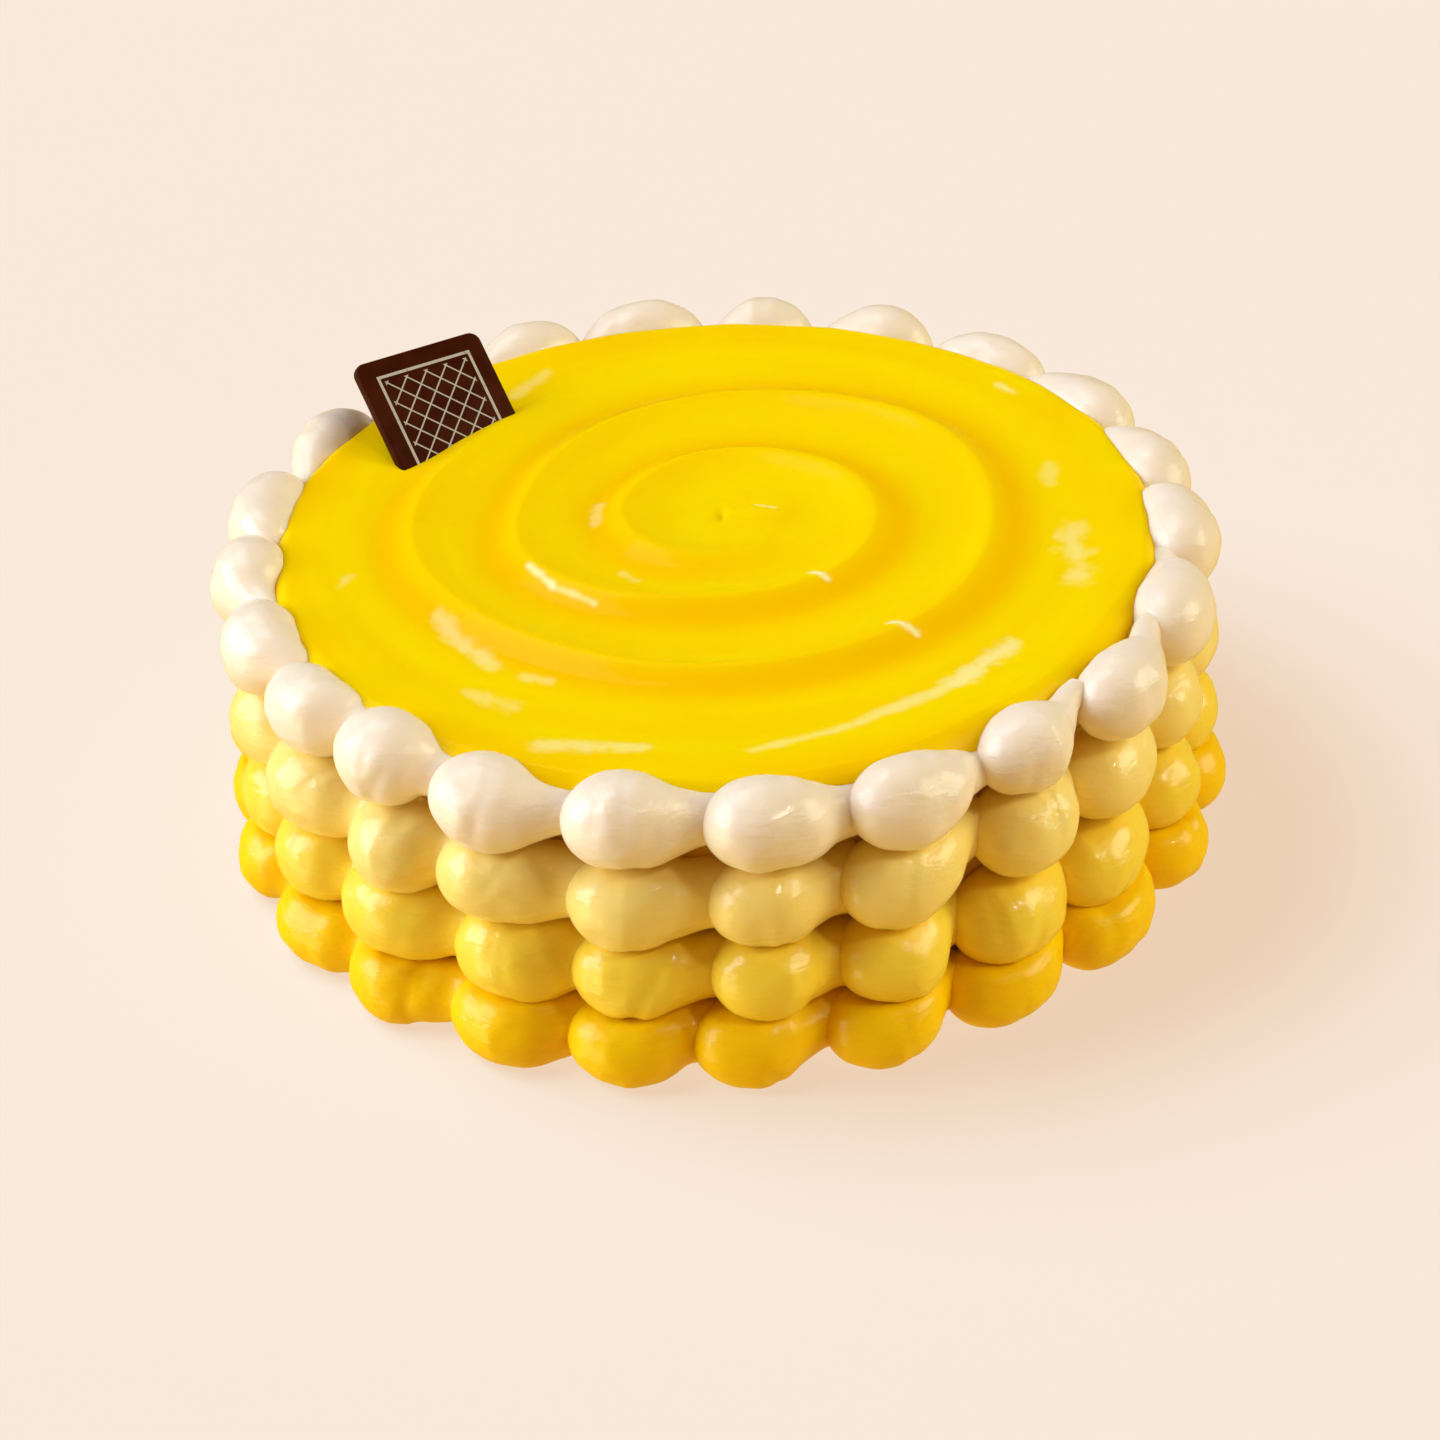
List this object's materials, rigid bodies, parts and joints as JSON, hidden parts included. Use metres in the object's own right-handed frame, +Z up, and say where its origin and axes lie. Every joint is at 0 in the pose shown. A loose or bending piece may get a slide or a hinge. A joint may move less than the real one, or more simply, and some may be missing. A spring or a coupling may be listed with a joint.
{
  "type": "lemon cake",
  "caption": "Round lemon cake with a wall of piped cream teardrops from white down to deep yellow, a swirled glossy glaze and a small dark chocolate plaque.",
  "frame": {"origin": "middle of the flat base, on the surface that the cake stands on", "axes": "+Z up through the cake; the side that the picture shows faces -Y, with +X to its right"},
  "size_m": [0.2545, 0.254, 0.0953],
  "materials": {
    "sponge": "matt sponge and cream",
    "glaze": "wet glossy lemon glaze",
    "deep_yellow_cream": "satin whipped cream",
    "yellow_cream": "satin whipped cream",
    "pale_yellow_cream": "satin whipped cream",
    "white_cream": "satin whipped cream",
    "chocolate": "tempered dark chocolate"
  },
  "bodies": {
    "root": {"cake_body": "sponge", "lemon_glaze": "glaze", "piped_tier_bottom": "deep_yellow_cream", "piped_tier_low": "yellow_cream", "piped_tier_high": "pale_yellow_cream", "piped_tier_top": "white_cream", "chocolate_plaque": "chocolate"}
  },
  "joints": []
}
